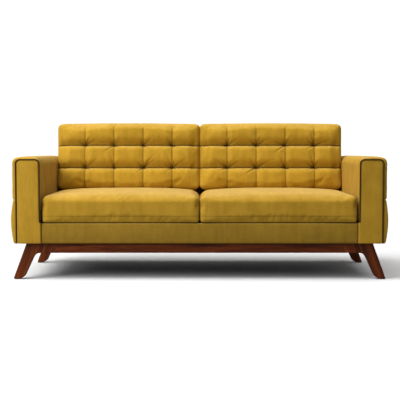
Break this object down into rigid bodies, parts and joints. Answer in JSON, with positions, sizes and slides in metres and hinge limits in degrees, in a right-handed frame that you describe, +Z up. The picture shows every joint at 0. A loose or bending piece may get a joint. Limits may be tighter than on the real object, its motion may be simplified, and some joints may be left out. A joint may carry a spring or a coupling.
{
  "type": "sofa with wooden legs",
  "caption": "Three-seat sofa: padded track arms, apron and back on a timber frame, loose seat and tufted back cushions, and a walnut base with splayed legs.",
  "frame": {"origin": "on the floor, under the middle of the sofa's width and depth", "axes": "+X to the right hand of a person looking at the front, +Y from the front to the back, +Z up"},
  "size_m": [2.118, 0.92, 0.891],
  "materials": {
    "walnut": "satin",
    "beech": "matte",
    "zinc_steel": "satin",
    "spring_steel": "satin",
    "nylon": "matte",
    "pine": "matte",
    "plywood": "matte",
    "cambric": "matte",
    "webbing": "matte",
    "foam": "matte",
    "piping_velvet": "matte",
    "mustard_velvet": "matte"
  },
  "bodies": {
    "sofa_frame": {"apron_and_deck_cover": "mustard_velvet", "apron_padding": "foam", "arm_bottom_rail_left": "pine", "arm_bottom_rail_right": "pine", "arm_cover_left": "mustard_velvet", "arm_cover_right": "mustard_velvet", "arm_front_board_left": "plywood", "arm_front_board_right": "plywood", "arm_front_panel_left": "mustard_velvet", "arm_front_panel_right": "mustard_velvet", "arm_outside_panel_left": "mustard_velvet", "arm_outside_panel_right": "mustard_velvet", "arm_padding_left": "foam", "arm_padding_right": "foam", "arm_piping_left": "piping_velvet", "arm_piping_right": "piping_velvet", "arm_rear_post_left": "pine", "arm_rear_post_right": "pine", "arm_top_board_left": "plywood", "arm_top_board_right": "plywood", "back_centre_post": "pine", "back_lower_rail": "pine", "back_padding": "foam", "back_post_left": "pine", "back_post_right": "pine", "back_top_rail": "pine", "back_webbing": "webbing", "base_centre_stretcher": "walnut", "base_dowels": "beech", "base_front_rail": "walnut", "base_rear_rail": "walnut", "base_screws": "zinc_steel", "base_side_rail_left": "walnut", "base_side_rail_right": "walnut", "base_washers": "zinc_steel", "deck_pad": "foam", "dust_cover": "cambric", "foot_glides": "nylon", "inside_back_cover": "mustard_velvet", "leg_front_left": "walnut", "leg_front_right": "walnut", "leg_rear_left": "walnut", "leg_rear_right": "walnut", "outside_back_cover": "mustard_velvet", "seat_centre_rail": "pine", "seat_corner_blocks": "pine", "seat_front_rail": "pine", "seat_rear_rail": "pine", "seat_side_rail_left": "pine", "seat_side_rail_right": "pine", "seat_springs": "spring_steel", "spring_clips": "zinc_steel"},
    "seat_cushion_left": {"seat_cushion_cover_left": "mustard_velvet", "seat_cushion_core_left": "foam"},
    "seat_cushion_right": {"seat_cushion_cover_right": "mustard_velvet", "seat_cushion_core_right": "foam"},
    "back_cushion_left": {"back_cushion_cover_left": "mustard_velvet", "back_cushion_fill_left": "foam"},
    "back_cushion_right": {"back_cushion_cover_right": "mustard_velvet", "back_cushion_fill_right": "foam"}
  },
  "joints": [
    {"name": "seat_cushion_left_pull", "type": "slide", "parent": "sofa_frame", "child": "seat_cushion_left", "axis": [0, -1, 0], "range_m": [0, 0.75]},
    {"name": "back_cushion_left_lift", "type": "slide", "parent": "sofa_frame", "child": "back_cushion_left", "axis": [0, 0, 1], "range_m": [0, 0.45]},
    {"name": "seat_cushion_right_pull", "type": "slide", "parent": "sofa_frame", "child": "seat_cushion_right", "axis": [0, -1, 0], "range_m": [0, 0.75]},
    {"name": "back_cushion_right_lift", "type": "slide", "parent": "sofa_frame", "child": "back_cushion_right", "axis": [0, 0, 1], "range_m": [0, 0.45]}
  ]
}
